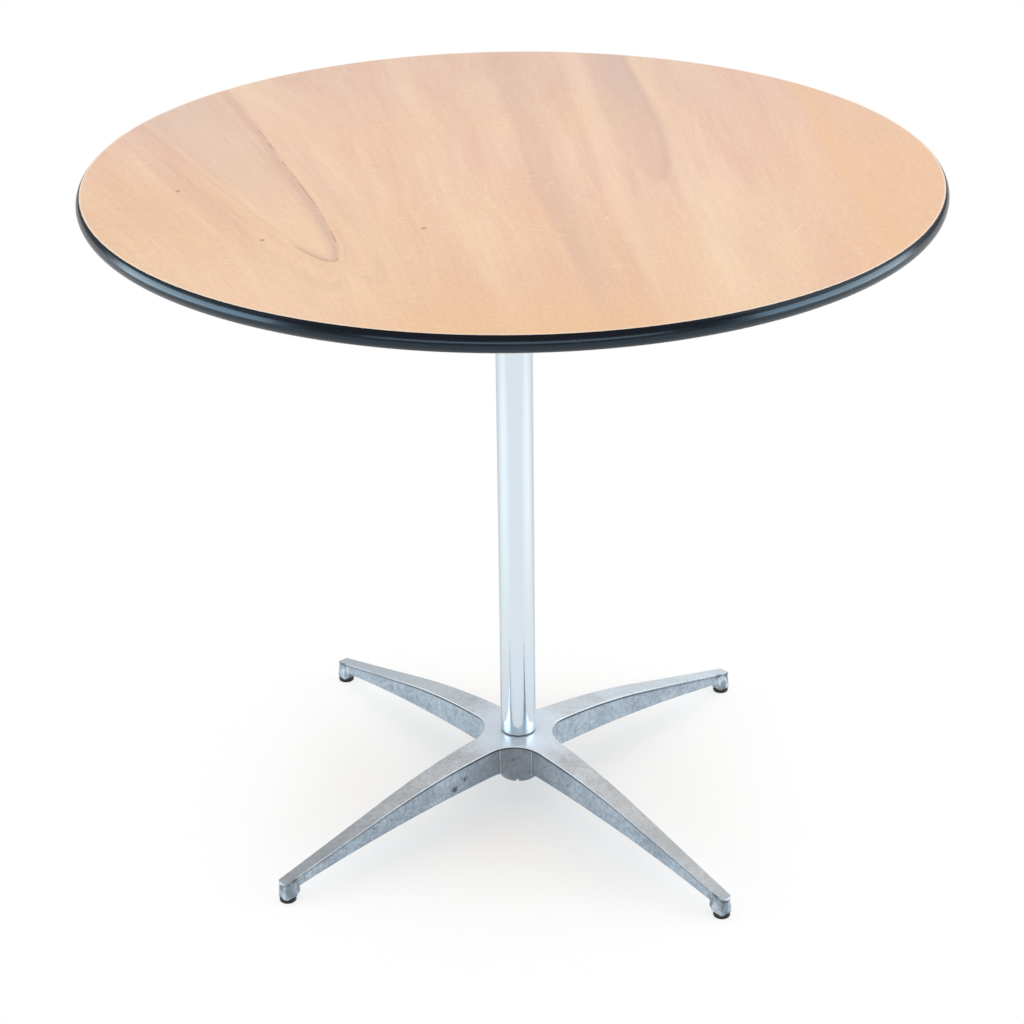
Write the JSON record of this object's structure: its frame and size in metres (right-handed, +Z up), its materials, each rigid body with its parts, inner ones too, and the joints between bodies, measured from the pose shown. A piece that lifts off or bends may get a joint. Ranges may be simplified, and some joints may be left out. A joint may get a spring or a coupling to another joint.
{
  "type": "cocktail table",
  "caption": "Round plywood pedestal table with a black vinyl edge, a chrome screw-in column and a cast aluminium arched-arm base on levelling glides.",
  "frame": {"origin": "on the floor under the column's axis", "axes": "+Z up along the column; the arms of the base lie on the diagonals between +X and +Y"},
  "size_m": [0.9144, 0.9144, 0.7748],
  "materials": {
    "birch_plywood": "clear satin lacquer",
    "black_vinyl": "smooth gloss",
    "cast_aluminium": "as cast, brushed on top",
    "chrome_plate": "polished",
    "zinc_steel": "zinc plated",
    "black_nylon": "moulded matte"
  },
  "bodies": {
    "base": {"base_casting": "cast_aluminium"},
    "foot_washer": {"foot_washer": "black_nylon"},
    "column": {"column_tube": "chrome_plate", "column_head_plug": "zinc_steel", "column_foot_plug": "zinc_steel", "head_stud": "zinc_steel", "foot_stud": "zinc_steel"},
    "head_washer": {"head_washer": "black_nylon"},
    "top": {"tabletop_panel": "birch_plywood", "edge_band": "black_vinyl", "top_spider": "cast_aluminium", "spider_screws": "zinc_steel"},
    "glide_pad_front_left": {"glide_pad_front_left": "black_nylon"},
    "glide_stem_front_left": {"glide_stem_front_left": "zinc_steel"},
    "glide_pad_front_right": {"glide_pad_front_right": "black_nylon"},
    "glide_stem_front_right": {"glide_stem_front_right": "zinc_steel"},
    "glide_pad_back_left": {"glide_pad_back_left": "black_nylon"},
    "glide_stem_back_left": {"glide_stem_back_left": "zinc_steel"},
    "glide_pad_back_right": {"glide_pad_back_right": "black_nylon"},
    "glide_stem_back_right": {"glide_stem_back_right": "zinc_steel"}
  },
  "joints": [
    {"name": "column_turn", "type": "hinge", "parent": "base", "child": "foot_washer", "pos_m": [0, 0, 0.08421], "axis": [0, 0, 1], "range_deg": [0, 4860]},
    {"name": "column_lift", "type": "slide", "parent": "foot_washer", "child": "column", "axis": [0, 0, 1], "range_m": [0, 0.0343]},
    {"name": "top_turn", "type": "hinge", "parent": "column", "child": "head_washer", "pos_m": [0, 0, 0.72716], "axis": [0, 0, 1], "range_deg": [0, 2970]},
    {"name": "top_lift", "type": "slide", "parent": "head_washer", "child": "top", "axis": [0, 0, 1], "range_m": [0, 0.02096]},
    {"name": "glide_lift_front_left", "type": "slide", "parent": "base", "child": "glide_pad_front_left", "axis": [0, 0, 1], "range_m": [-0.00794, 0]},
    {"name": "glide_turn_front_left", "type": "hinge", "parent": "glide_pad_front_left", "child": "glide_stem_front_left", "pos_m": [-0.24183, -0.24183, 0.0055], "axis": [0, 0, 1], "range_deg": [-2251, 0]},
    {"name": "glide_lift_front_right", "type": "slide", "parent": "base", "child": "glide_pad_front_right", "axis": [0, 0, 1], "range_m": [-0.00794, 0]},
    {"name": "glide_turn_front_right", "type": "hinge", "parent": "glide_pad_front_right", "child": "glide_stem_front_right", "pos_m": [0.24183, -0.24183, 0.0055], "axis": [0, 0, 1], "range_deg": [-2251, 0]},
    {"name": "glide_lift_back_left", "type": "slide", "parent": "base", "child": "glide_pad_back_left", "axis": [0, 0, 1], "range_m": [-0.00794, 0]},
    {"name": "glide_turn_back_left", "type": "hinge", "parent": "glide_pad_back_left", "child": "glide_stem_back_left", "pos_m": [-0.24183, 0.24183, 0.0055], "axis": [0, 0, 1], "range_deg": [-2251, 0]},
    {"name": "glide_lift_back_right", "type": "slide", "parent": "base", "child": "glide_pad_back_right", "axis": [0, 0, 1], "range_m": [-0.00794, 0]},
    {"name": "glide_turn_back_right", "type": "hinge", "parent": "glide_pad_back_right", "child": "glide_stem_back_right", "pos_m": [0.24183, 0.24183, 0.0055], "axis": [0, 0, 1], "range_deg": [-2251, 0]}
  ],
  "couplings": [
    {"joint": "column_lift", "follows": "column_turn", "m_per_rad": 0.00040425},
    {"joint": "top_lift", "follows": "top_turn", "m_per_rad": 0.00040425},
    {"joint": "glide_turn_front_left", "follows": "glide_lift_front_left", "rad_per_m": 4947.4},
    {"joint": "glide_turn_front_right", "follows": "glide_lift_front_right", "rad_per_m": 4947.4},
    {"joint": "glide_turn_back_left", "follows": "glide_lift_back_left", "rad_per_m": 4947.4},
    {"joint": "glide_turn_back_right", "follows": "glide_lift_back_right", "rad_per_m": 4947.4}
  ]
}
